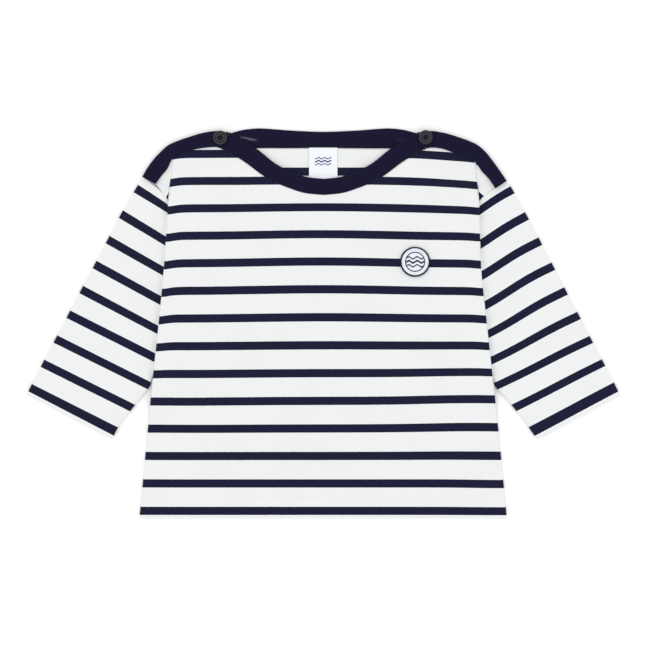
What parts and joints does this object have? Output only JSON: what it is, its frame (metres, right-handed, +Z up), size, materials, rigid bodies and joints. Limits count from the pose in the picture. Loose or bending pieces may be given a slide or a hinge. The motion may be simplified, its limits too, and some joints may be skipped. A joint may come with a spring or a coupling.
{
  "type": "baby breton striped long-sleeved top, laid flat",
  "caption": "Boxy long-sleeved knit top in white with navy breton stripes, bound neck and buttoned navy shoulder bands, lying flat on a surface.",
  "frame": {"origin": "on the surface, under the middle of the garment's bounding box", "axes": "+Z up out of the surface, +Y towards the neck, +X towards the wearer's left"},
  "size_m": [0.4929, 0.3235, 0.0074],
  "materials": {
    "striped_jersey": "matte cotton jersey, white with navy stripes",
    "navy_knit": "matte navy cotton knit",
    "label_satin": "white woven satin",
    "patch_embroidery": "white twill with navy thread",
    "button_plastic": "satin dark navy resin"
  },
  "bodies": {
    "root": {"body_front": "striped_jersey", "body_back": "striped_jersey", "sleeve_left": "striped_jersey", "sleeve_right": "striped_jersey", "neck_binding_front": "navy_knit", "neck_binding_back": "navy_knit", "shoulder_band_left": "navy_knit", "shoulder_band_right": "navy_knit", "neck_label": "label_satin", "chest_patch": "patch_embroidery", "button_left": "button_plastic", "button_right": "button_plastic"}
  },
  "joints": []
}
